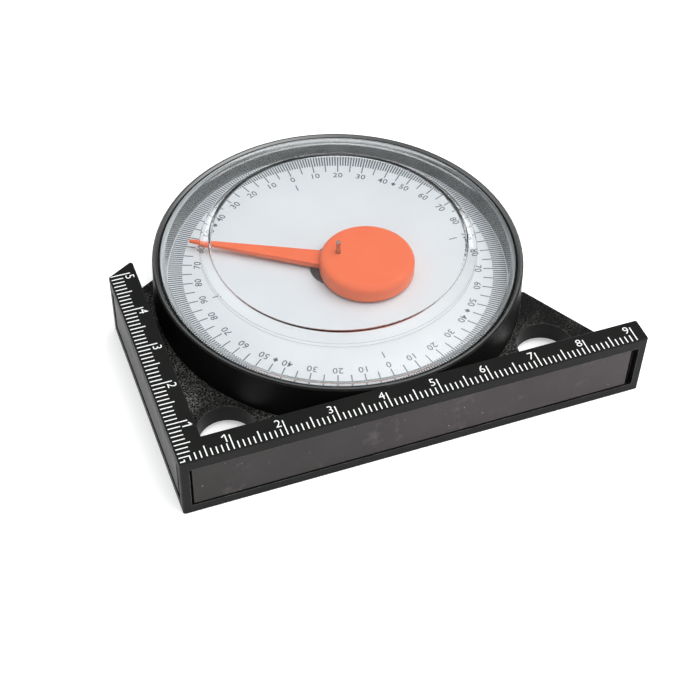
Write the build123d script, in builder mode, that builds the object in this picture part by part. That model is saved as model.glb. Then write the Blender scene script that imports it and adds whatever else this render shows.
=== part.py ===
from build123d import *
import os
from math import cos, radians, sin, sqrt, tan

# A pocket inclinometer that lies on its back, in millimetres.
# The origin is the foot of the dial's axis on the rest plane. +Z is the dial's axis, X runs along
# the long reference edge and Y along the short one.

# Reference edges and their bars
short_edge = 49.7
free_end_past_case = 10.6
bar_height = 14.3
long_bar_width = 5.2
short_bar_width = 5.5
end_slope = 29.5
end_cut = 60.0
bar_corner_radius = 0.5
bar_top_edge_radius = 0.25

# Round case
case_radius = 37.0
case_draft = 0.6
case_wall = 1.5
case_into_long_bar = 0.2
case_to_short_bar = 2.5
cup_floor = 1.8
rim_edge = 0.3
rim_flat = 0.35
rim_slope_drop = 0.6

# Corner plate with its two through holes
plate_top = 5.3
plate_thickness = 2.0
plate_skirt = 1.6
plate_beside_case = 1.0
slant_end_share = 0.8
hole_radius = 5.6
hole_from_long_edge = 12.45
hole_to_case = 0.91
hole_boss_wall = 1.6
hole_boss_foot = 1.2

# Ribs under the cup
rib_thickness = 1.2
rib_foot = 0.8
rib_rings = 3
rib_spokes = 8
pin_boss_radius = 3.5

# Magnet strips in the reference edges
frame_side = 1.7
frame_top = 2.3
frame_foot = 1.9
recess_depth = 1.6
magnet_thickness = 1.3
magnet_start_gap = 0.5
magnet_end_gap = 1.5
magnet_foot_gap = 0.4
magnet_head_gap = 0.05
adhesive_thickness = 0.15
adhesive_inset = 0.4

# Dial
dial_depth = 4.9
dial_thickness = 0.6
dial_clearance = 0.15
dial_hole_clearance = 0.5

# Pivot
pin_radius = 0.45
pin_above_bars = 2.0
pin_hold = 6.5
pin_press = 0.01
pin_tip_radius = 0.25
running_clearance = 0.05
washer_radius = 5.7
washer_thickness = 0.45
thrust_gap = 0.05
bush_radius = 1.5
bush_flange_radius = 2.3
bush_flange_thickness = 0.5
seat_clearance = 0.02

# Pointer
needle_angle = 150.0
needle_to_skirt = 3.7
needle_root_width = 4.5
needle_root_thickness = 1.3
needle_tip_width = 0.5
needle_tip_thickness = 0.6
needle_below_top = 2.1
weight_radius = 9.55
weight_offset = 5.9
weight_below_bars = 0.85
weight_edge_radius = 1.3
pointer_to_washer = 0.2
pointer_skin = 0.8

# Counterweight in the pointer's round housing
slug_to_bush = 1.25
slug_thickness = 2.2
slug_wall = 1.5

# Lens
lens_clearance = 0.1
lens_wall = 1.2
step_wall_inset = 0.35
lens_rim_drop = 0.1
lens_skirt_gap = 0.02
lens_root_drop = 0.8
flange_width = 7.9
shoulder_rise = 2.2
step_width = 1.9
step_height = 1.8
flange_bow = 0.35
lens_step_radius = 0.45

# How near a place counts as on a line or level
on_line = 0.01

# Places that follow from the sizes
x_left = -(short_bar_width + case_to_short_bar + case_radius)
y_front = -(long_bar_width + case_radius - case_into_long_bar)
x_right = case_radius + free_end_past_case
long_edge = x_right - x_left
x_inner = x_left + short_bar_width
y_inner = y_front + long_bar_width
case_foot_radius = case_radius + case_draft
cup_radius = case_radius - case_wall
lens_radius = cup_radius - lens_clearance
skirt_radius = lens_radius - lens_wall
needle_reach = skirt_radius - needle_to_skirt
dial_face = bar_height - dial_depth
cup_floor_top = dial_face - dial_thickness
cup_floor_under = cup_floor_top - cup_floor
washer_top = dial_face + washer_thickness
bush_foot = washer_top + thrust_gap
pointer_foot = washer_top + pointer_to_washer
pointer_top = bar_height - weight_below_bars
bush_top = pointer_top - pointer_skin
needle_top = pointer_top - needle_below_top
bore_radius = pin_radius + running_clearance
hole_y = y_front + hole_from_long_edge
hole_from_axis = case_foot_radius + hole_radius + hole_to_case
hole_x = sqrt(hole_from_axis ** 2 - hole_y ** 2)
hole_places = [(-hole_x, hole_y), (hole_x, hole_y)]


def slant_y(x):
    """Height along Y of the slanted end, which the short bar and the corner plate share."""
    return y_front + short_edge + (x - x_left) * tan(radians(end_slope))


# The free edge of the plate leaves the end of the long bar at end_cut and stops beside the case
cut_from = (x_right, y_inner)
cut_way = (-cos(radians(end_cut)), sin(radians(end_cut)))
cut_along = cut_from[0] * cut_way[0] + cut_from[1] * cut_way[1]
cut_square = cut_from[0] ** 2 + cut_from[1] ** 2
beside_case = case_radius + plate_beside_case
cut_length = -cut_along - sqrt(max(cut_along ** 2 - cut_square + beside_case ** 2, 0))
cut_to = (cut_from[0] + cut_length * cut_way[0], cut_from[1] + cut_length * cut_way[1])
slant_inside_case = -case_radius * slant_end_share

long_bar_outline = [
    (x_left, y_front),
    (x_right, y_front),
    (x_right, y_inner),
    (x_left, y_inner),
]
short_bar_outline = [
    (x_left, y_front),
    (x_inner, y_front),
    (x_inner, slant_y(x_inner)),
    (x_left, slant_y(x_left)),
]
plate_outline = [
    (x_inner, y_inner),
    cut_from,
    cut_to,
    (0, 0),
    (slant_inside_case, slant_y(slant_inside_case)),
    (x_inner, slant_y(x_inner)),
]

# Magnet recess of each reference edge: where it starts and how long it is
recess_height = bar_height - frame_top - frame_foot
long_recess = long_edge - 2 * frame_side
short_recess = short_edge - 2 * frame_side
magnet_height = recess_height - magnet_foot_gap - magnet_head_gap
magnet_foot = frame_foot + magnet_foot_gap
long_face = Plane(origin=(x_left, y_front, 0), x_dir=(1, 0, 0), z_dir=(0, -1, 0))
short_face = Plane(origin=(x_left, y_front + short_edge, 0), x_dir=(0, -1, 0), z_dir=(-1, 0, 0))


# Base: one moulding with the two bars, the corner plate, the hole bosses and the cup of the case
with BuildPart() as base:
    with BuildSketch(Plane.XY) as bars_sketch:
        with BuildLine():
            Polyline(*long_bar_outline, close=True)
        make_face()
        with BuildLine():
            Polyline(*short_bar_outline, close=True)
        make_face()
    extrude(amount=bar_height)
    bar_corners = base.edges().filter_by(Axis.Z)
    outer_corners = [e for e in bar_corners if abs(e.center().X - x_inner) > on_line or e.center().Y > 0]
    fillet(outer_corners, bar_corner_radius)
    fillet(base.faces().sort_by(Axis.Z)[-1].outer_wire().edges(), bar_top_edge_radius)

    # Corner plate
    with BuildSketch(Plane.XY) as plate_sketch:
        with BuildLine():
            Polyline(*plate_outline, close=True)
        make_face()
    extrude(amount=plate_top)

    # Case, drafted from its foot to its rim, which slopes down to the lens
    with BuildSketch(Plane.XZ) as case_sketch:
        with BuildLine():
            Polyline(
                (0, 0),
                (case_foot_radius, 0),
                (case_radius, bar_height - rim_edge),
                (case_radius - rim_edge, bar_height),
                (case_radius - rim_edge - rim_flat, bar_height),
                (cup_radius, bar_height - rim_slope_drop),
                (0, bar_height - rim_slope_drop),
                close=True,
            )
        make_face()
    revolve(axis=Axis.Z)

    # Cup for the dial, the pointer and the lens
    with BuildSketch(Plane.XY.offset(cup_floor_top)) as cup_sketch:
        Circle(cup_radius)
    extrude(amount=bar_height - cup_floor_top, mode=Mode.SUBTRACT)

    # Hollow under the corner plate, with a skirt along its free edges and a boss round each hole
    with BuildSketch(Plane.XY) as plate_hollow_sketch:
        with BuildLine():
            Polyline(*plate_outline, close=True)
        make_face()
        offset(amount=-plate_skirt, kind=Kind.INTERSECTION, mode=Mode.REPLACE)
        Circle(case_foot_radius, mode=Mode.SUBTRACT)
        with Locations(*hole_places):
            Circle(hole_radius + hole_boss_wall, mode=Mode.SUBTRACT)
    extrude(amount=plate_top - plate_thickness, mode=Mode.SUBTRACT)
    with BuildSketch(Plane.XY) as boss_foot_sketch:
        with Locations(*hole_places):
            Circle(hole_radius + hole_boss_wall)
        Circle(case_foot_radius, mode=Mode.SUBTRACT)
        with BuildLine():
            Polyline(*long_bar_outline, close=True)
        make_face(mode=Mode.SUBTRACT)
        with BuildLine():
            Polyline(*short_bar_outline, close=True)
        make_face(mode=Mode.SUBTRACT)
    extrude(amount=hole_boss_foot, mode=Mode.SUBTRACT)
    with BuildSketch(Plane.XY) as holes_sketch:
        with Locations(*hole_places):
            Circle(hole_radius)
    extrude(amount=plate_top, mode=Mode.SUBTRACT)

    # Hollow under the cup, with ring ribs, spokes and the boss that holds the pivot pin
    under_cup = cup_floor_under
    with BuildSketch(Plane.XY) as under_cup_sketch:
        Circle(cup_radius)
        Circle(pin_boss_radius, mode=Mode.SUBTRACT)
    extrude(amount=under_cup, mode=Mode.SUBTRACT)
    ring_step = (cup_radius - pin_boss_radius) / (rib_rings + 1)
    with BuildSketch(Plane.XY.offset(rib_foot)) as ribs_sketch:
        for ring in reversed(range(1, rib_rings + 1)):
            ring_radius = pin_boss_radius + ring * ring_step
            Circle(ring_radius + rib_thickness / 2)
            Circle(ring_radius - rib_thickness / 2, mode=Mode.SUBTRACT)
        with PolarLocations(0, rib_spokes):
            Rectangle(cup_radius, rib_thickness, align=(Align.MIN, Align.CENTER))
    extrude(amount=under_cup - rib_foot)

    # Blind hole for the pivot pin
    with BuildSketch(Plane.XY.offset(cup_floor_top)) as pin_hole_sketch:
        Circle(pin_radius + pin_press)
    extrude(amount=-pin_hold, mode=Mode.SUBTRACT)

    # Recesses for the magnet strips
    with BuildSketch(long_face) as long_recess_sketch:
        with Locations((frame_side, frame_foot)):
            Rectangle(long_recess, recess_height, align=(Align.MIN, Align.MIN))
    extrude(amount=-recess_depth, mode=Mode.SUBTRACT)
    with BuildSketch(short_face) as short_recess_sketch:
        with Locations((frame_side, frame_foot)):
            Rectangle(short_recess, recess_height, align=(Align.MIN, Align.MIN))
    extrude(amount=-recess_depth, mode=Mode.SUBTRACT)


# Magnet strips and the adhesive layers behind them
def strip(face, recess_length, depth, thickness, inset):
    """Flat strip in a recess: depth is how far its back lies behind the reference face."""
    with BuildPart() as made:
        with BuildSketch(face.offset(-depth)):
            with Locations((frame_side + magnet_start_gap + inset, magnet_foot + inset)):
                Rectangle(
                    recess_length - magnet_start_gap - magnet_end_gap - 2 * inset,
                    magnet_height - 2 * inset,
                    align=(Align.MIN, Align.MIN),
                )
        extrude(amount=thickness)
    return made


magnet_back = recess_depth - adhesive_thickness
front_magnet = strip(long_face, long_recess, magnet_back, magnet_thickness, 0)
left_magnet = strip(short_face, short_recess, magnet_back, magnet_thickness, 0)
front_magnet_adhesive = strip(long_face, long_recess, recess_depth, adhesive_thickness, adhesive_inset)
left_magnet_adhesive = strip(short_face, short_recess, recess_depth, adhesive_thickness, adhesive_inset)


# Dial disc on the floor of the cup
with BuildPart() as dial:
    with BuildSketch(Plane.XY.offset(cup_floor_top)) as dial_sketch:
        Circle(cup_radius - dial_clearance)
        Circle(pin_radius + dial_hole_clearance, mode=Mode.SUBTRACT)
    extrude(amount=dial_thickness)


# Pivot pin, pressed into the boss of the base
pin_top = bar_height + pin_above_bars
pin_foot = cup_floor_top - pin_hold
with BuildPart() as pivot_pin:
    with BuildSketch(Plane.XY.offset(pin_foot)) as pin_sketch:
        Circle(pin_radius)
    extrude(amount=pin_top - pin_foot)
    fillet(pivot_pin.edges().filter_by(GeomType.CIRCLE).sort_by(Axis.Z)[-1], pin_tip_radius)


# Thrust washer between the dial and the pointer's bush
with BuildPart() as thrust_washer:
    with BuildSketch(Plane.XY.offset(dial_face)) as washer_sketch:
        Circle(washer_radius)
        Circle(bore_radius, mode=Mode.SUBTRACT)
    extrude(amount=washer_thickness)


# Flanged bush that runs on the pin
with BuildPart() as pivot_bush:
    with BuildSketch(Plane.XZ) as bush_sketch:
        with BuildLine():
            Polyline(
                (bore_radius, bush_foot),
                (bush_flange_radius, bush_foot),
                (bush_flange_radius, bush_foot + bush_flange_thickness),
                (bush_radius, bush_foot + bush_flange_thickness),
                (bush_radius, bush_top),
                (bore_radius, bush_top),
                close=True,
            )
        make_face()
    revolve(axis=Axis.Z)


# Pointer: round housing on one side of the pivot, tapered needle on the other
needle_x = Vector(cos(radians(needle_angle)), sin(radians(needle_angle)), 0)
pointer_plane = Plane(origin=(0, 0, pointer_foot), x_dir=needle_x, z_dir=(0, 0, 1))
slug_near = bush_flange_radius + slug_to_bush
slug_far = weight_offset + weight_radius - slug_wall
slug_radius = (slug_far - slug_near) / 2
slug_offset = (slug_far + slug_near) / 2

needle_ends = [
    (0, needle_root_width, needle_root_thickness),
    (needle_reach, needle_tip_width, needle_tip_thickness),
]

with BuildPart() as pointer:
    with BuildSketch(pointer_plane) as housing_sketch:
        with Locations((-weight_offset, 0)):
            Circle(weight_radius)
    extrude(amount=pointer_top - pointer_foot)
    housing_edge = pointer.edges().filter_by(GeomType.CIRCLE).group_by(Axis.Z)[-1]
    fillet(housing_edge, weight_edge_radius)
    # Needle: a section across it at each end, both hung from the needle's top
    for reach, width, thickness in needle_ends:
        middle = needle_x * reach + Vector(0, 0, needle_top - thickness / 2)
        with BuildSketch(Plane(origin=middle, x_dir=(0, 0, 1), z_dir=needle_x)) as needle_sketch:
            Rectangle(thickness, width)
    loft(ruled=True)
    # Pocket for the counterweight
    with BuildSketch(pointer_plane) as slug_pocket_sketch:
        with Locations((-slug_offset, 0)):
            Circle(slug_radius + seat_clearance)
    extrude(amount=slug_thickness, mode=Mode.SUBTRACT)
    # Stepped seat for the bush, and the hole for the pin through the skin
    with BuildSketch(pointer_plane) as flange_seat_sketch:
        Circle(bush_flange_radius + seat_clearance)
    extrude(amount=bush_foot + bush_flange_thickness - pointer_foot, mode=Mode.SUBTRACT)
    with BuildSketch(pointer_plane) as bush_seat_sketch:
        Circle(bush_radius + seat_clearance)
    extrude(amount=bush_top - pointer_foot, mode=Mode.SUBTRACT)
    with BuildSketch(pointer_plane) as skin_hole_sketch:
        Circle(bore_radius + running_clearance)
    extrude(amount=pointer_top - pointer_foot, mode=Mode.SUBTRACT)


# Counterweight slug, flush with the underside of the housing
with BuildPart() as counterweight:
    with BuildSketch(pointer_plane) as slug_sketch:
        with Locations((-slug_offset, 0)):
            Circle(slug_radius)
    extrude(amount=slug_thickness)


# Lens: a skirt that holds the dial down, a bowed flange and a raised flat crown over the pointer
lens_foot = dial_face + lens_skirt_gap
flange_edge = bar_height - lens_rim_drop
shoulder = bar_height + shoulder_rise
crown = shoulder + step_height
shoulder_radius = lens_radius - flange_width
crown_radius = shoulder_radius - step_width
bow_radius = (lens_radius + shoulder_radius) / 2
bow_height = (flange_edge + shoulder) / 2 + flange_bow
flange_under = flange_edge - lens_root_drop
with BuildPart() as lens:
    with BuildSketch(Plane.XZ) as lens_sketch:
        with BuildLine():
            Polyline((0, crown), (crown_radius, crown), (shoulder_radius, shoulder))
            ThreePointArc((shoulder_radius, shoulder), (bow_radius, bow_height), (lens_radius, flange_edge))
            Polyline((lens_radius, flange_edge), (lens_radius, lens_foot), (skirt_radius, lens_foot))
            Polyline((skirt_radius, lens_foot), (skirt_radius, flange_under))
            ThreePointArc(
                (skirt_radius, flange_under),
                (bow_radius, bow_height - lens_wall),
                (shoulder_radius - step_wall_inset, shoulder - lens_wall),
            )
            Polyline(
                (shoulder_radius - step_wall_inset, shoulder - lens_wall),
                (crown_radius - step_wall_inset, crown - lens_wall),
                (0, crown - lens_wall),
                (0, crown),
            )
        make_face()
    revolve(axis=Axis.Z)
    step_levels = [crown, crown - lens_wall, shoulder, shoulder - lens_wall]
    for level in step_levels:
        step_circles = lens.edges().filter_by(GeomType.CIRCLE)
        fillet(step_circles.filter_by_position(Axis.Z, level - on_line, level + on_line), lens_step_radius)


pieces = {
    "base": base,
    "front_magnet": front_magnet,
    "left_magnet": left_magnet,
    "front_magnet_adhesive": front_magnet_adhesive,
    "left_magnet_adhesive": left_magnet_adhesive,
    "dial": dial,
    "pivot_pin": pivot_pin,
    "thrust_washer": thrust_washer,
    "pivot_bush": pivot_bush,
    "pointer": pointer,
    "counterweight": counterweight,
    "lens": lens,
}
os.makedirs("parts", exist_ok=True)
for name, piece in pieces.items():
    piece.part.label = name
    export_step(piece.part, f"parts/{name}.step")
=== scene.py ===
import math

import bmesh
import bpy
from mathutils import Matrix, Vector


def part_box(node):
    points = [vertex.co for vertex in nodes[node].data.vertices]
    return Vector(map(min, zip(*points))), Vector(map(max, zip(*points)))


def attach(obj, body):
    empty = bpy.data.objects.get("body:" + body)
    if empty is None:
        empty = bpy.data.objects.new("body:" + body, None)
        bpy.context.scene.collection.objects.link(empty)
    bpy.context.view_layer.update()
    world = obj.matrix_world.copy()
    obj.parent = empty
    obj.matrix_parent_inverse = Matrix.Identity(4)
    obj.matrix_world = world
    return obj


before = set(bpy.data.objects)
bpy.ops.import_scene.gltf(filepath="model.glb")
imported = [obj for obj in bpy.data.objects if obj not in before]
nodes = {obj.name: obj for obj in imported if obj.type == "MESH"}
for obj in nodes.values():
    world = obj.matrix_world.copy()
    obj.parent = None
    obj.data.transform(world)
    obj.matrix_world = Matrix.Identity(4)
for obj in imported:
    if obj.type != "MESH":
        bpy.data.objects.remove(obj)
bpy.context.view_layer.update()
MM = 0.001

# Places read from the frame, in metres
base_low, base_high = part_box("base")
X_LEFT, Y_FRONT = base_low[0], base_low[1]
X_RIGHT, BAR_TOP = base_high[0], base_high[2]
DIAL_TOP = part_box("dial")[1][2]
LENS_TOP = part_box("lens")[1][2]
PLATE_TOP = 5.3 * MM


def linear(r, g, b):
    """Linear colour from 0 to 255 display values."""
    def one(v):
        v = v / 255
        return v / 12.92 if v <= 0.04045 else ((v + 0.055) / 1.055) ** 2.4
    return (one(r), one(g), one(b), 1.0)


# Camera, solved from the ruler's ticks in the photograph
FOCAL_PX = 1523.5
IMAGE_PX = 700
SENSOR_WIDTH = 36.0
CLIP_START = 0.01
CLIP_END = 20.0
CAMERA_PLACE = Vector((-78.98, -206.70, 223.99)) * MM
CAMERA_AZIMUTH = math.radians(21.68)
CAMERA_ELEVATION = math.radians(47.17)
CAMERA_ROLL = math.radians(1.77)


def make_camera():
    data = bpy.data.cameras.new("camera")
    data.sensor_width = SENSOR_WIDTH
    data.lens = FOCAL_PX / IMAGE_PX * data.sensor_width
    data.clip_start = CLIP_START
    data.clip_end = CLIP_END
    camera = bpy.data.objects.new("camera", data)
    bpy.context.scene.collection.objects.link(camera)
    flat = math.cos(CAMERA_ELEVATION)
    forward = Vector((flat * math.sin(CAMERA_AZIMUTH), flat * math.cos(CAMERA_AZIMUTH),
                      -math.sin(CAMERA_ELEVATION)))
    right = forward.cross(Vector((0, 0, 1))).normalized()
    up = right.cross(forward)
    right_rolled = right * math.cos(CAMERA_ROLL) + up * math.sin(CAMERA_ROLL)
    up_rolled = up * math.cos(CAMERA_ROLL) - right * math.sin(CAMERA_ROLL)
    turn = Matrix((right_rolled, up_rolled, -forward)).transposed().to_4x4()
    camera.matrix_world = Matrix.Translation(CAMERA_PLACE) @ turn
    bpy.context.scene.camera = camera


make_camera()


# Building blocks of the materials and of the studio's light
class Tree:
    """A node tree with short calls for its nodes and links."""

    def __init__(self, node_tree, coordinate):
        self.nodes = node_tree.nodes
        self.links = node_tree.links
        self.place = self.nodes.new("ShaderNodeTexCoord").outputs[coordinate]

    def add(self, kind, **settings):
        node = self.nodes.new(kind)
        for key, value in settings.items():
            setattr(node, key, value)
        return node

    def link(self, a, b):
        self.links.new(a, b)

    def fill(self, sockets, values):
        """Links each value that is an output to its socket, and sets any other there."""
        for socket, value in zip(sockets, values):
            if isinstance(value, bpy.types.NodeSocket):
                self.link(value, socket)
            else:
                socket.default_value = value

    def ramp(self, fac, stops):
        node = self.add("ShaderNodeValToRGB")
        elements = node.color_ramp.elements
        for element, (where, colour) in zip(elements, stops):
            element.position = where
            element.color = colour if isinstance(colour, tuple) else (colour, colour, colour, 1)
        self.link(fac, node.inputs["Fac"])
        return node.outputs["Color"]

    def math(self, operation, *values, clamp=False):
        node = self.add("ShaderNodeMath", operation=operation, use_clamp=clamp)
        self.fill(node.inputs, values)
        return node.outputs["Value"]

    def vector(self, operation, *values, out="Vector"):
        node = self.add("ShaderNodeVectorMath", operation=operation)
        self.fill(node.inputs, values)
        return node.outputs[out]

    def mix(self, fac, a, b):
        node = self.add("ShaderNodeMix", data_type="RGBA")
        self.fill((node.inputs[0], node.inputs[6], node.inputs[7]), (fac, a, b))
        return node.outputs[2]

    def rise(self, value, low, high, start=0.0, end=1.0):
        """Runs from start to end while a value runs from low to high."""
        node = self.add("ShaderNodeMapRange")
        names = ("Value", "From Min", "From Max", "To Min", "To Max")
        self.fill([node.inputs[name] for name in names], (value, low, high, start, end))
        return node.outputs["Result"]

    def axis(self, letter, place=None):
        node = self.add("ShaderNodeSeparateXYZ")
        self.link(place or self.place, node.inputs["Vector"])
        return node.outputs[letter]


class Surface(Tree):
    """A material, with textures at the object's real scale."""

    def __init__(self, name):
        self.material = bpy.data.materials.new(name)
        self.material.use_nodes = True
        super().__init__(self.material.node_tree, "Object")
        self.shader = self.nodes["Principled BSDF"]
        self.output = self.nodes["Material Output"]

    def set(self, **values):
        for key, value in values.items():
            self.shader.inputs[key.replace("_", " ")].default_value = value

    def feed(self, name, value):
        self.link(value, self.shader.inputs[name])

    def noise(self, size, detail=3.0, roughness=0.55):
        node = self.add("ShaderNodeTexNoise")
        node.inputs["Scale"].default_value = 1.0 / size
        node.inputs["Detail"].default_value = detail
        node.inputs["Roughness"].default_value = roughness
        self.link(self.place, node.inputs["Vector"])
        return node.outputs["Fac"]

    def grain(self, size):
        node = self.add("ShaderNodeTexVoronoi")
        node.inputs["Scale"].default_value = 1.0 / size
        self.link(self.place, node.inputs["Vector"])
        return node.outputs["Distance"]

    def radius(self):
        """Distance from the dial's axis."""
        flat = self.vector("MULTIPLY", self.place, (1.0, 1.0, 0.0))
        return self.vector("LENGTH", flat, out="Value")

    def bump(self, height, distance, after=None):
        node = self.add("ShaderNodeBump")
        node.inputs["Distance"].default_value = distance
        self.link(height, node.inputs["Height"])
        if after is not None:
            self.link(after, node.inputs["Normal"])
        return node.outputs["Normal"]

    def wear(self, radius):
        """Bright where an edge is sharp: the bevelled normal differs from the true one there."""
        bevel = self.add("ShaderNodeBevel", samples=4)
        bevel.inputs["Radius"].default_value = radius
        normal = self.add("ShaderNodeNewGeometry").outputs["Normal"]
        alike = self.vector("DOT_PRODUCT", bevel.outputs["Normal"], normal, out="Value")
        return self.math("SUBTRACT", 1.0, alike, clamp=True)


# Base: black moulded plastic, spark-eroded on the corner plate, satin on the bars and the case,
# polished on the rim's inner slope; with painted glints on the plate's crests, and edges painted
# lighter for wear and a painted highlight
PLATE_GRAIN = 0.26 * MM
PLATE_RELIEF = 0.16 * MM
PLATE_REACH = 0.3 * MM
PLATE_POLISH = 0.12
BAR_GRAIN = 0.12 * MM
BAR_RELIEF = 0.004 * MM
TONE_PATCH = 9 * MM
WEAR_AND_HIGHLIGHT_EDGE = 0.22 * MM
WEAR_AND_HIGHLIGHT_GAIN = 2.2
WEAR_AND_HIGHLIGHT_PATCH = 2.5 * MM
WEAR_AND_HIGHLIGHT_TONE = linear(128, 130, 126)
CREST_GRAIN = 1.4 * PLATE_GRAIN
PAINTED_GLINT_TONE = linear(128, 128, 124)
SATIN_PATCH = 3 * MM
POLISH_START = 36.72 * MM
POLISH_LOW = 14.0 * MM


def black_plastic():
    t = Surface("black_plastic")
    z = t.axis("Z")
    facing = t.axis("Z", t.add("ShaderNodeNewGeometry").outputs["True Normal"])
    level = t.math("COMPARE", z, PLATE_TOP, PLATE_REACH)
    on_plate = t.math("MULTIPLY", level, t.math("GREATER_THAN", facing, 0.5))
    tone = t.ramp(t.noise(TONE_PATCH), [(0.3, linear(20, 21, 20)), (0.7, linear(25, 26, 24))])
    # Painted glints: the plate's crests are painted lighter in patches, fainter towards the right
    painted_glint_patches = t.ramp(t.noise(TONE_PATCH, detail=2.0), [(0.4, 0.2), (0.6, 1.0)])
    painted_glint_patches = t.math("MULTIPLY", painted_glint_patches, t.rise(t.axis("X"), X_LEFT, X_RIGHT, 1.0, 0.2))
    glints = t.ramp(t.grain(CREST_GRAIN), [(0.46, 0.0), (0.64, 1.0)])
    painted_glints = t.math("MULTIPLY", on_plate, t.math("MULTIPLY", glints, painted_glint_patches))
    # Edges painted lighter: partly wear, partly a painted highlight along the sharp edges
    edge = t.math("MULTIPLY", t.wear(WEAR_AND_HIGHLIGHT_EDGE), WEAR_AND_HIGHLIGHT_GAIN, clamp=True)
    wear_and_highlight = t.math("MULTIPLY", edge, t.ramp(t.noise(WEAR_AND_HIGHLIGHT_PATCH), [(0.35, 0.25), (0.65, 1.0)]))
    t.feed("Base Color", t.mix(wear_and_highlight, t.mix(painted_glints, tone, PAINTED_GLINT_TONE), WEAR_AND_HIGHLIGHT_TONE))
    satin = t.ramp(t.noise(SATIN_PATCH), [(0.3, 0.40), (0.7, 0.5)])
    t.feed("Roughness", t.math("SUBTRACT", satin, t.math("MULTIPLY", on_plate, PLATE_POLISH)))
    inside = t.math("LESS_THAN", t.radius(), POLISH_START)
    t.feed("Coat Weight", t.math("MULTIPLY", inside, t.math("GREATER_THAN", z, POLISH_LOW)))
    coarse = t.math("ADD", t.math("MULTIPLY", t.grain(PLATE_GRAIN), 1.8),
                    t.noise(PLATE_GRAIN * 1.3, detail=2.0))
    fine_normal = t.bump(t.noise(BAR_GRAIN, detail=2.0), BAR_RELIEF)
    t.feed("Normal", t.bump(t.math("MULTIPLY", coarse, on_plate), PLATE_RELIEF, after=fine_normal))
    t.set(IOR=1.5, Specular_IOR_Level=0.1, Coat_IOR=2.6, Coat_Roughness=0.08)
    return t.material


# Flexible magnet strips: dark rubbery sheet with faint scuffs and pale specks, and painted light
# that grows towards the right
STRIP_CLOUD = 14 * MM
STRIP_PATCH = 5 * MM
STRIP_GRAIN = 0.25 * MM
STRIP_RELIEF = 0.01 * MM
SPECK_SPACING = 2.6 * MM
SPECK_TONE = linear(150, 148, 145)
SCUFF_MIDDLE = 8 * MM
SCUFF_HALF = 12 * MM
SCUFF_GAIN = 0.06


def magnet_material(name, low, high, scuff, rough_low, rough_high):
    t = Surface(name)
    # Tone: a random cloud, plus painted light that grows lighter towards the right
    cloud = t.noise(STRIP_CLOUD, detail=4.0)
    painted_light_along_x = t.rise(t.axis("X"), X_LEFT, X_RIGHT)
    cloud_and_painted_light = t.math("ADD", t.math("MULTIPLY", cloud, 0.5), t.math("MULTIPLY", painted_light_along_x, 0.5))
    tone = t.ramp(cloud_and_painted_light, [(0.25, low), (0.75, high)])
    patches = t.noise(STRIP_PATCH, detail=8.0, roughness=0.75)
    # Rubbed more in a stretch right of the middle
    rubbed = t.math("COMPARE", t.axis("X"), SCUFF_MIDDLE, SCUFF_HALF)
    rubbed = t.math("ADD", patches, t.math("MULTIPLY", rubbed, SCUFF_GAIN))
    scuffs = t.ramp(rubbed, [(0.58, 0.0), (0.72, 0.6)])
    specks = t.ramp(t.grain(SPECK_SPACING), [(0.03, 0.7), (0.07, 0.0)])
    t.feed("Base Color", t.mix(specks, t.mix(scuffs, tone, scuff), SPECK_TONE))
    t.feed("Roughness", t.ramp(patches, [(0.3, rough_low), (0.7, rough_high)]))
    t.feed("Normal", t.bump(t.noise(STRIP_GRAIN), STRIP_RELIEF))
    t.set(Specular_IOR_Level=0.28)
    return t.material


SOFT_STOPS = (0.3, 0.7)
INK_STOPS = (0.35, 0.65)


def plain_material(name, patch, tones, gloss_patch, rough, grain=None, relief=None,
                   stops=SOFT_STOPS, **settings):
    """Material whose tone and gloss drift a little over patches, with a fine bump for a grain."""
    t = Surface(name)
    t.feed("Base Color", t.ramp(t.noise(patch), list(zip(stops, tones))))
    t.feed("Roughness", t.ramp(t.noise(gloss_patch), list(zip(SOFT_STOPS, rough))))
    if grain:
        t.feed("Normal", t.bump(t.noise(grain), relief))
    t.set(**settings)
    return t.material


def metal_material(name, low, high, rough_low, rough_high):
    return plain_material(name, 0.6 * MM, (low, high), 0.2 * MM, (rough_low, rough_high),
                          Metallic=1.0)


def ink_material(name, low, high):
    return plain_material(name, 0.5 * MM, (low, high), 0.4 * MM, (0.5, 0.6), stops=INK_STOPS)


# Lens: clear moulded plastic that lets the light through to the dial, hazy at its skirt
SKIRT_HAZE_START = 33.9 * MM
SKIRT_HAZE_END = 34.6 * MM
SKIRT_TOP = 13.2 * MM
SKIRT_PATCH = 6 * MM
CLEAR_TONE = (0.96, 0.98, 0.98, 1.0)
SKIRT_TONE = (0.55, 0.57, 0.57, 1.0)
SHADE_TONE = (0.97, 0.98, 0.98, 1.0)
# Painted shade: thin dark lines painted at the two edges of its step
CROWN_LINE = 25.65 * MM
CROWN_DEPTH = 0.6 * MM
SHOULDER_LINE = 27.5 * MM
SHOULDER_SHARE = 0.6
EDGE_LINE_HALF = 0.07 * MM
PAINTED_EDGE_SHADE_TONE = (0.3, 0.31, 0.31, 1.0)
POLISH_PATCH = 5 * MM
LENS_WAVE = 7 * MM
LENS_WAVE_DEPTH = 0.01 * MM


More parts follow.
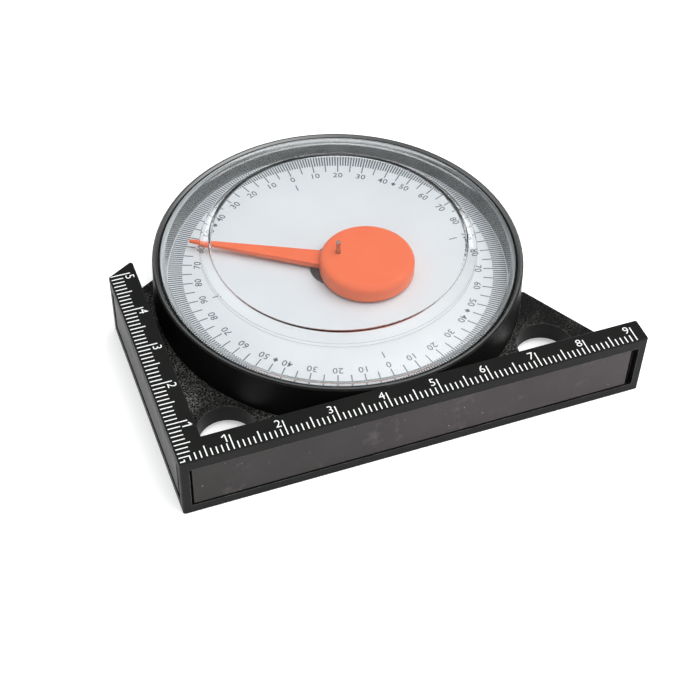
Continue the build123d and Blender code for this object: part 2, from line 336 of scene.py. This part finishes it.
def lens_material():
    t = Surface("clear_plastic")
    t.set(IOR=1.49)
    radius, z = t.radius(), t.axis("Z")
    on_skirt = t.math("MULTIPLY", t.rise(radius, SKIRT_HAZE_START, SKIRT_HAZE_END),
                      t.math("LESS_THAN", z, SKIRT_TOP))
    haze = t.ramp(t.noise(SKIRT_PATCH, detail=4.0), [(0.3, 0.10), (0.7, 0.22)])
    haze = t.math("MULTIPLY", on_skirt, haze)
    # Thin dark lines at the step's two edges, painted shade
    crown_shade = t.math("MULTIPLY", t.math("COMPARE", radius, CROWN_LINE, EDGE_LINE_HALF),
                   t.math("GREATER_THAN", z, LENS_TOP - CROWN_DEPTH))
    shoulder_shade = t.math("COMPARE", radius, SHOULDER_LINE, EDGE_LINE_HALF)
    painted_edge_shade = t.math("ADD", crown_shade, t.math("MULTIPLY", shoulder_shade, SHOULDER_SHARE))
    t.feed("Base Color", t.mix(painted_edge_shade, t.mix(on_skirt, CLEAR_TONE, SKIRT_TONE), PAINTED_EDGE_SHADE_TONE))
    t.feed("Transmission Weight", t.math("SUBTRACT", 1.0, haze))
    polish = t.ramp(t.noise(POLISH_PATCH), [(0.3, 0.0), (0.8, 0.03)])
    t.feed("Roughness", t.math("ADD", polish, t.math("MULTIPLY", haze, 0.5)))
    t.feed("Normal", t.bump(t.noise(LENS_WAVE, detail=2.0), LENS_WAVE_DEPTH))
    # Its shadow is a light tint
    clear = t.add("ShaderNodeBsdfTransparent")
    clear.inputs["Color"].default_value = SHADE_TONE
    shadow_ray = t.add("ShaderNodeLightPath").outputs["Is Shadow Ray"]
    mixed = t.add("ShaderNodeMixShader")
    t.fill(mixed.inputs, (shadow_ray, t.shader.outputs["BSDF"], clear.outputs["BSDF"]))
    t.link(mixed.outputs["Shader"], t.output.inputs["Surface"])
    return t.material


def assign(node_name, material):
    data = nodes[node_name].data
    data.materials.clear()
    data.materials.append(material)


assign("base", black_plastic())
# The two strips are one magnet sheet in tones set apart: the left one's darker tone is painted
# shade, evening out the stronger light on its side
assign("front_magnet", magnet_material("front_strip", linear(33, 30, 28), linear(58, 50, 53),
                                       linear(88, 80, 82), 0.42, 0.55))
assign("left_magnet", magnet_material("left_strip", linear(37, 39, 34), linear(46, 48, 42),
                                      linear(80, 80, 75), 0.38, 0.48))
adhesive = plain_material("adhesive_film", 4 * MM, (linear(206, 200, 178), linear(222, 217, 198)),
                          2 * MM, (0.5, 0.65))
assign("front_magnet_adhesive", adhesive)
assign("left_magnet_adhesive", adhesive)
assign("dial", plain_material("dial_sheet", 12 * MM, (linear(227, 229, 233), linear(232, 234, 237)),
                              0.8 * MM, (0.42, 0.5), 0.3 * MM, 0.003 * MM))
assign("pivot_pin", metal_material("pin_steel", linear(170, 168, 164), linear(205, 203, 198),
                                   0.18, 0.3))
assign("counterweight", metal_material("slug_steel", linear(120, 120, 118), linear(150, 150, 148),
                                       0.35, 0.5))
assign("pivot_bush", metal_material("bush_brass", linear(190, 150, 80), linear(210, 172, 100),
                                    0.25, 0.4))
assign("thrust_washer", plain_material("washer_plastic", 2 * MM,
                                       (linear(62, 56, 52), linear(82, 74, 70)),
                                       0.5 * MM, (0.45, 0.6)))
assign("pointer", plain_material("orange_plastic", 6 * MM,
                                 (linear(250, 112, 66), linear(254, 120, 72)),
                                 1.2 * MM, (0.42, 0.5), 0.2 * MM, 0.004 * MM,
                                 Subsurface_Weight=0.15, Subsurface_Scale=0.6 * MM,
                                 Subsurface_Radius=(1.0, 0.4, 0.2)))
assign("lens", lens_material())


# Printed marks: thin raised ink, as one mesh for each print
INK = 0.02 * MM
# Height of the font's digits as a share of its size
DIGIT_SHARE = 0.72
DIGIT_SPACING = 1.05
CURVE_STEPS = 3
MERGE_DISTANCE = 1e-7
# The drawn 1, as shares of its height
ONE_STROKE = 0.13
ONE_STEM = 0.12
ONE_FLAG = (-0.26, 0.2)


class Marks:
    """Collects thin closed boxes and numbers into one printed piece."""

    def __init__(self, name, level):
        self.name = name
        self.level = level
        self.mesh = bmesh.new()

    def bar(self, start, end, width):
        """Straight stroke of a width between two points of the printed plane."""
        start, end = Vector(start), Vector(end)
        side = Vector((start.y - end.y, end.x - start.x)).normalized() * (width / 2)
        self.polygon([start + side, start - side, end - side, end + side])

    def polygon(self, corners):
        low = [self.mesh.verts.new((c.x, c.y, self.level)) for c in corners]
        high = [self.mesh.verts.new((c.x, c.y, self.level + INK)) for c in corners]
        count = len(corners)
        self.mesh.faces.new(low[::-1])
        self.mesh.faces.new(high)
        for i in range(count):
            j = (i + 1) % count
            self.mesh.faces.new((low[i], low[j], high[j], high[i]))

    def number(self, text, place, turn, size, weight):
        """Number centred on a place, turned about Z, with digits of a height."""
        curve = bpy.data.curves.new(self.name + "_text", "FONT")
        curve.body = text
        curve.size = size / DIGIT_SHARE
        curve.align_x = "CENTER"
        curve.align_y = "CENTER"
        curve.extrude = INK / 2
        curve.offset = weight
        curve.space_character = DIGIT_SPACING
        curve.resolution_u = CURVE_STEPS
        holder = bpy.data.objects.new(self.name + "_text", curve)
        bpy.context.scene.collection.objects.link(holder)
        bpy.context.view_layer.update()
        data = bpy.data.meshes.new_from_object(holder)
        shift = Matrix.Translation((place[0], place[1], self.level + INK / 2))
        data.transform(shift @ Matrix.Rotation(turn, 4, "Z"))
        self.mesh.from_mesh(data)
        bpy.data.objects.remove(holder)
        bpy.data.meshes.remove(data)

    def digit(self, value, place, turn, height, weight):
        """Ruler numeral: the 1 is drawn with strokes so that its flag stays clear at this size."""
        if value != 1:
            self.number(str(value), place, turn, height, weight)
            return
        spin = Matrix.Rotation(turn, 2)
        middle = Vector(place)
        head = middle + spin @ Vector((ONE_STEM * height, 0.5 * height))
        foot = middle + spin @ Vector((ONE_STEM * height, -0.5 * height))
        flag = middle + spin @ Vector((ONE_FLAG[0] * height, ONE_FLAG[1] * height))
        self.bar(foot, head, ONE_STROKE * height)
        self.bar(flag, head, ONE_STROKE * height)

    def done(self, material, body):
        bmesh.ops.remove_doubles(self.mesh, verts=self.mesh.verts, dist=MERGE_DISTANCE)
        bmesh.ops.recalc_face_normals(self.mesh, faces=self.mesh.faces)
        data = bpy.data.meshes.new(self.name)
        self.mesh.to_mesh(data)
        self.mesh.free()
        data.materials.append(material)
        piece = bpy.data.objects.new(self.name, data)
        bpy.context.scene.collection.objects.link(piece)
        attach(piece, body)


# Rulers on the two bars, with ticks a millimetre apart from the outer corner
RULER_LONG_MM = 90
RULER_SHORT_MM = 50
FIRST_TICK = 3
BENT_TICK = 2
TICK_WIDTH = 0.22 * MM
LONG_TICKS = (3.45 * MM, 2.5 * MM, 1.6 * MM)
SHORT_TICKS = (3.9 * MM, 3.0 * MM, 2.3 * MM)
PRINT_SHIFT_X = 0.3 * MM
PRINT_SHIFT_Y = -0.5 * MM
TICK_START = 0.35 * MM
DIGIT_HEIGHT = 1.8 * MM
DIGIT_WEIGHT = -0.015 * MM
DIGIT_BESIDE_TICK = 1.0
LONG_DIGITS_IN = 3.2 * MM
SHORT_DIGITS_IN = 3.9 * MM


def tick_length(step, lengths):
    if step % 10 == 0:
        return lengths[0]
    return lengths[1] if step % 5 == 0 else lengths[2]


def ruler_x(step):
    return X_LEFT + PRINT_SHIFT_X + step * MM


def ruler_y(step):
    return Y_FRONT + PRINT_SHIFT_Y + step * MM


def print_rulers():
    marks = Marks("ruler_print", BAR_TOP)
    x_edge, y_edge = X_LEFT + TICK_START, Y_FRONT + TICK_START
    for step in range(FIRST_TICK, RULER_LONG_MM + 1):
        x = ruler_x(step)
        marks.bar((x, y_edge), (x, y_edge + tick_length(step, LONG_TICKS)), TICK_WIDTH)
    # The two rulers share their 2 mm tick, bent at the corner, and the next one ends in a hook
    bend_x, bend_y = ruler_x(BENT_TICK), ruler_y(BENT_TICK)
    marks.bar((x_edge, bend_y), (bend_x + TICK_WIDTH / 2, bend_y), TICK_WIDTH)
    marks.bar((bend_x, y_edge), (bend_x, bend_y - TICK_WIDTH / 2), TICK_WIDTH)
    hook_x, hook_y = bend_x - 1 * MM, bend_y - 1 * MM
    marks.bar((x_edge, hook_y), (hook_x, hook_y), TICK_WIDTH)
    marks.bar((hook_x - TICK_WIDTH / 2, hook_y + TICK_WIDTH / 2),
              (hook_x - TICK_WIDTH / 2, hook_y + 2 * TICK_WIDTH), TICK_WIDTH)
    for step in range(FIRST_TICK, RULER_SHORT_MM + 1):
        y = ruler_y(step)
        marks.bar((x_edge, y), (x_edge + tick_length(step, SHORT_TICKS), y), TICK_WIDTH)
    for centimetre in range(1, RULER_LONG_MM // 10 + 1):
        place = (ruler_x(centimetre * 10 - DIGIT_BESIDE_TICK), Y_FRONT + LONG_DIGITS_IN)
        marks.digit(centimetre, place, 0.0, DIGIT_HEIGHT, DIGIT_WEIGHT)
    for centimetre in range(1, RULER_SHORT_MM // 10 + 1):
        place = (X_LEFT + SHORT_DIGITS_IN, ruler_y(centimetre * 10 - DIGIT_BESIDE_TICK))
        marks.digit(centimetre, place, -math.pi / 2, DIGIT_HEIGHT, DIGIT_WEIGHT)
    white = ink_material("white_ink", linear(232, 233, 232), linear(245, 246, 245))
    marks.done(white, "root")


print_rulers()

# Dial print: four quadrants of 0 to 90 degrees
RING_INNER = 31.2 * MM
RING_OUTER = 34.05 * MM
LONG_TICK_INNER = 29.2 * MM
NUMBER_RADIUS = 28.0 * MM
INDEX_INNER = 24.4 * MM
INDEX_OUTER = 26.1 * MM
DEGREE_WIDTH = 0.27 * MM
LONG_DEGREE_WIDTH = 0.22 * MM
DIAL_DIGIT = 1.5 * MM
DIAL_DIGIT_WEIGHT = 0.01 * MM
DIAMOND_LONG = 0.62 * MM
DIAMOND_WIDE = 0.5 * MM


def polar(radius, angle):
    return Vector((radius * math.cos(angle), radius * math.sin(angle)))


def print_dial():
    marks = Marks("dial_print", DIAL_TOP)
    for degree in range(360):
        angle = math.radians(degree)
        marks.bar(polar(RING_INNER, angle), polar(RING_OUTER, angle), DEGREE_WIDTH)
        if degree % 5 == 0:
            marks.bar(polar(LONG_TICK_INNER, angle), polar(RING_INNER, angle), LONG_DEGREE_WIDTH)
        if degree % 10 == 0:
            reading = 90 - abs((degree + 90) % 180 - 90)
            marks.number(str(reading), polar(NUMBER_RADIUS, angle), angle - math.pi / 2,
                         DIAL_DIGIT, DIAL_DIGIT_WEIGHT)
        if degree % 90 == 0:
            marks.bar(polar(INDEX_INNER, angle), polar(INDEX_OUTER, angle), LONG_DEGREE_WIDTH)
        if degree % 90 == 45:
            out, side = polar(1, angle), polar(1, angle + math.pi / 2)
            middle = polar(NUMBER_RADIUS, angle)
            marks.polygon([middle + out * DIAMOND_LONG, middle + side * DIAMOND_WIDE,
                           middle - out * DIAMOND_LONG, middle - side * DIAMOND_WIDE])
    grey = ink_material("grey_ink", linear(84, 88, 96), linear(100, 104, 112))
    marks.done(grey, "root")


print_dial()

# Floor and light
WHITE = (1.0, 1.0, 1.0, 1.0)
FLOOR_HALF = 2.5
FLOOR_TONE = (0.86, 0.86, 0.86, 1.0)
FLOOR_GLOW = 0.45


def make_floor():
    mesh = bmesh.new()
    bmesh.ops.create_grid(mesh, x_segments=1, y_segments=1, size=FLOOR_HALF)
    data = bpy.data.meshes.new("floor")
    mesh.to_mesh(data)
    mesh.free()
    t = Surface("floor_white")
    t.set(Roughness=0.9, Base_Color=FLOOR_TONE)
    glow = t.add("ShaderNodeEmission")
    t.fill(glow.inputs, (WHITE, FLOOR_GLOW))
    both = t.add("ShaderNodeAddShader")
    t.fill(both.inputs, (t.shader.outputs["BSDF"], glow.outputs["Emission"]))
    t.link(both.outputs["Shader"], t.output.inputs["Surface"])
    data.materials.append(t.material)
    floor = bpy.data.objects.new("floor", data)
    bpy.context.scene.collection.objects.link(floor)


# Dim studio walls at the horizon under a pale ceiling
WALL_END = 0.1
CEILING_START = 0.75
WALL_TONE = (0.13, 0.135, 0.14, 1.0)
CEILING_TONE = (0.3, 0.31, 0.32, 1.0)
# Soft lights at the studio's walls: direction, how narrow, how strong
SOFT_LIGHTS = (
    ((0.4, -0.1, 0.9), 6.0, 1.85),
    ((-0.9, 0.35, 0.3), 5.0, 0.9),
    ((0.45, -0.85, 0.3), 5.0, 0.85),
)


def make_studio():
    world = bpy.data.worlds.new("studio")
    bpy.context.scene.world = world
    world.use_nodes = True
    t = Tree(world.node_tree, "Generated")
    total = t.ramp(t.axis("Z"), [(WALL_END, WALL_TONE), (CEILING_START, CEILING_TONE)])
    for direction, narrow, strength in SOFT_LIGHTS:
        toward = t.vector("DOT_PRODUCT", t.place, Vector(direction).normalized(), out="Value")
        shaped = t.math("POWER", t.math("MAXIMUM", toward, 0.0), narrow)
        total = t.vector("ADD", total, t.math("MULTIPLY", shaped, strength))
    # The camera itself sees plain white behind the object
    camera_ray = t.add("ShaderNodeLightPath").outputs["Is Camera Ray"]
    background = t.nodes["Background"]
    background.inputs["Strength"].default_value = 1.0
    t.link(t.mix(camera_ray, total, WHITE), background.inputs["Color"])


LAMP_PLACE = Vector((0.45, -0.1, 1.0))
LAMP_SIZE = 1.4
LAMP_POWER = 10.4


def make_lamp():
    """Round lamp that looks at the object and isn't mirrored in its lens."""
    data = bpy.data.lights.new("top_lamp", "AREA")
    data.shape = "DISK"
    data.size = LAMP_SIZE
    data.energy = LAMP_POWER
    lamp = bpy.data.objects.new("top_lamp", data)
    bpy.context.scene.collection.objects.link(lamp)
    lamp.visible_glossy = False
    lamp.visible_transmission = False
    lamp.location = LAMP_PLACE
    lamp.rotation_euler = (-LAMP_PLACE).to_track_quat("-Z", "Y").to_euler()


make_floor()
make_studio()
make_lamp()
bpy.context.scene.view_settings.view_transform = "Standard"
